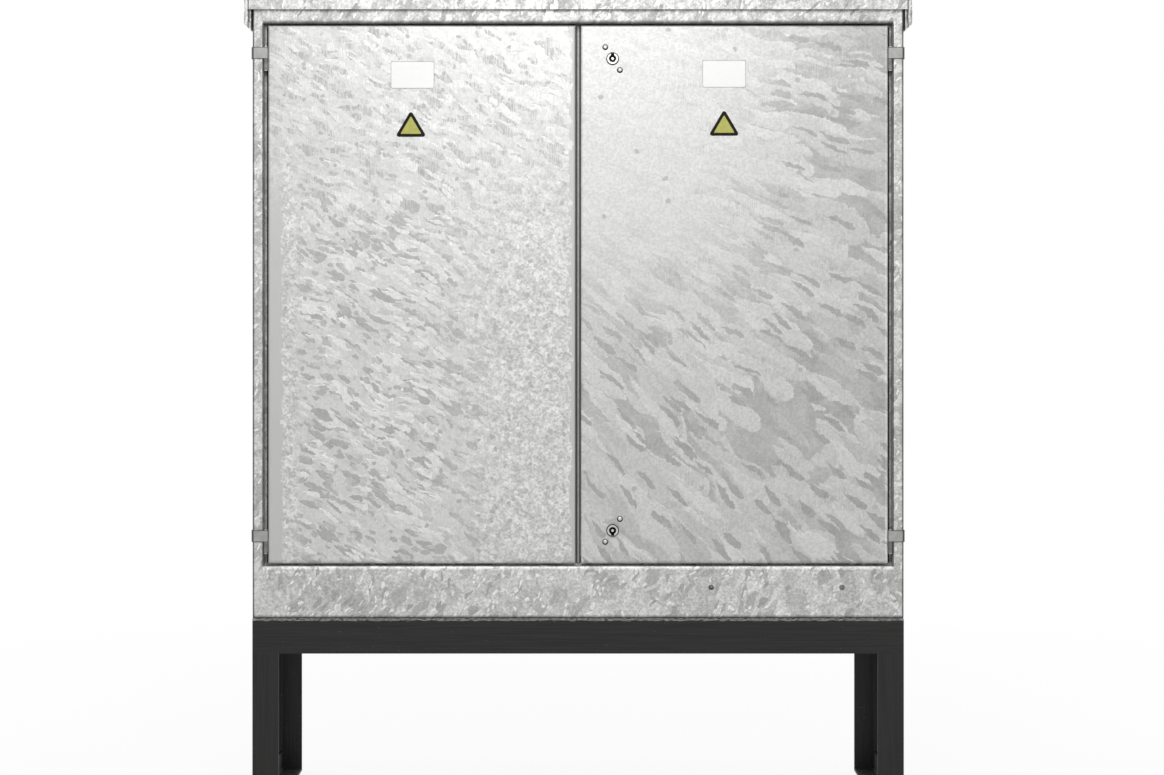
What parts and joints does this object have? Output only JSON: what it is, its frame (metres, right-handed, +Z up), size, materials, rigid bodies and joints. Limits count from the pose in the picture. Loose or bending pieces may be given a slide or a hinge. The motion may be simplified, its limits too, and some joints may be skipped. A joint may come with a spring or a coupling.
{
  "type": "roadside utility cabinet",
  "caption": "Galvanised double-door roadside distribution cabinet on a black root frame, with hinged doors, bolt locks, a drip-edge roof and a backboard with switch and fuse gear.",
  "frame": {"origin": "on the ground, under the middle of the cabinet", "axes": "+Z up, -Y to the front of the cabinet, +X to the right as seen from the front"},
  "size_m": [1.23, 0.42, 1.5483],
  "materials": {
    "root_paint": "matt brushed-on bitumen paint",
    "fixings": "zinc plated",
    "galvanised": "hot-dip galvanised with a coarse spangle",
    "hinge_steel": "dull galvanised",
    "lock_steel": "plated",
    "seal_rubber": "matt",
    "board_ply": "plain plywood",
    "black_moulding": "matt moulding",
    "pale_moulding": "satin moulding",
    "red_moulding": "satin moulding",
    "brass": "plain",
    "copper": "plain copper"
  },
  "bodies": {
    "cabinet": {"front_left_leg": "root_paint", "front_right_leg": "root_paint", "rear_left_leg": "root_paint", "rear_right_leg": "root_paint", "front_beam": "root_paint", "rear_beam": "root_paint", "left_beam": "root_paint", "right_beam": "root_paint", "left_runner": "root_paint", "right_runner": "root_paint", "root_bolts": "fixings", "root_nuts": "fixings", "roof_nuts": "fixings", "hinge_pins": "fixings", "board_bolts": "fixings", "earth_bar_bolts": "fixings", "front_frame": "galvanised", "left_side_panel": "galvanised", "right_side_panel": "galvanised", "back_panel": "galvanised", "roof_lid": "galvanised", "upper_board_rail": "galvanised", "lower_board_rail": "galvanised", "top_left_hinge_strap": "hinge_steel", "bottom_left_hinge_strap": "hinge_steel", "top_right_hinge_strap": "hinge_steel", "bottom_right_hinge_strap": "hinge_steel", "door_seal": "seal_rubber", "backboard": "board_ply", "switch_base": "black_moulding", "fuse_base": "black_moulding", "switch_cover": "pale_moulding", "neutral_standoffs": "red_moulding", "neutral_bar": "brass", "earth_bar_spacers": "brass", "earth_bar": "copper"},
    "left_door": {"left_door_pan": "galvanised", "left_stiffener": "galvanised", "meeting_strip": "galvanised", "shoot_bolt_guides": "fixings", "top_left_hinge_leaf": "hinge_steel", "bottom_left_hinge_leaf": "hinge_steel"},
    "right_door": {"right_door_pan": "galvanised", "right_stiffener": "galvanised", "top_lock_case": "lock_steel", "bottom_lock_case": "lock_steel", "lock_screws": "fixings", "top_right_hinge_leaf": "hinge_steel", "bottom_right_hinge_leaf": "hinge_steel"},
    "top_lock_bolt": {"top_lock_bolt": "fixings"},
    "bottom_lock_bolt": {"bottom_lock_bolt": "fixings"},
    "top_shoot_bolt": {"top_shoot_bolt": "fixings"},
    "bottom_shoot_bolt": {"bottom_shoot_bolt": "fixings"},
    "switch_handle": {"switch_handle": "red_moulding"},
    "fuse_carrier_1": {"fuse_carrier_1": "pale_moulding"},
    "fuse_carrier_2": {"fuse_carrier_2": "pale_moulding"},
    "fuse_carrier_3": {"fuse_carrier_3": "pale_moulding"}
  },
  "joints": [
    {"name": "left_door_hinge", "type": "hinge", "parent": "cabinet", "child": "left_door", "pos_m": [-0.5755, -0.198, 0.9465], "axis": [0, 0, -1], "range_deg": [0, 115]},
    {"name": "right_door_hinge", "type": "hinge", "parent": "cabinet", "child": "right_door", "pos_m": [0.5755, -0.198, 0.9465], "axis": [0, 0, 1], "range_deg": [0, 115]},
    {"name": "top_lock_throw", "type": "slide", "parent": "right_door", "child": "top_lock_bolt", "axis": [0, 0, 1], "range_m": [0, 0.015]},
    {"name": "bottom_lock_throw", "type": "slide", "parent": "right_door", "child": "bottom_lock_bolt", "axis": [0, 0, -1], "range_m": [0, 0.015]},
    {"name": "top_shoot_throw", "type": "slide", "parent": "left_door", "child": "top_shoot_bolt", "axis": [0, 0, 1], "range_m": [0, 0.015]},
    {"name": "bottom_shoot_throw", "type": "slide", "parent": "left_door", "child": "bottom_shoot_bolt", "axis": [0, 0, -1], "range_m": [0, 0.015]},
    {"name": "switch_turn", "type": "hinge", "parent": "cabinet", "child": "switch_handle", "pos_m": [-0.27, 0.05, 0.946], "axis": [0, -1, 0], "range_deg": [-90, 0]},
    {"name": "fuse_pull_1", "type": "slide", "parent": "cabinet", "child": "fuse_carrier_1", "axis": [0, -1, 0], "range_m": [0, 0.06]},
    {"name": "fuse_pull_2", "type": "slide", "parent": "cabinet", "child": "fuse_carrier_2", "axis": [0, -1, 0], "range_m": [0, 0.06]},
    {"name": "fuse_pull_3", "type": "slide", "parent": "cabinet", "child": "fuse_carrier_3", "axis": [0, -1, 0], "range_m": [0, 0.06]}
  ]
}
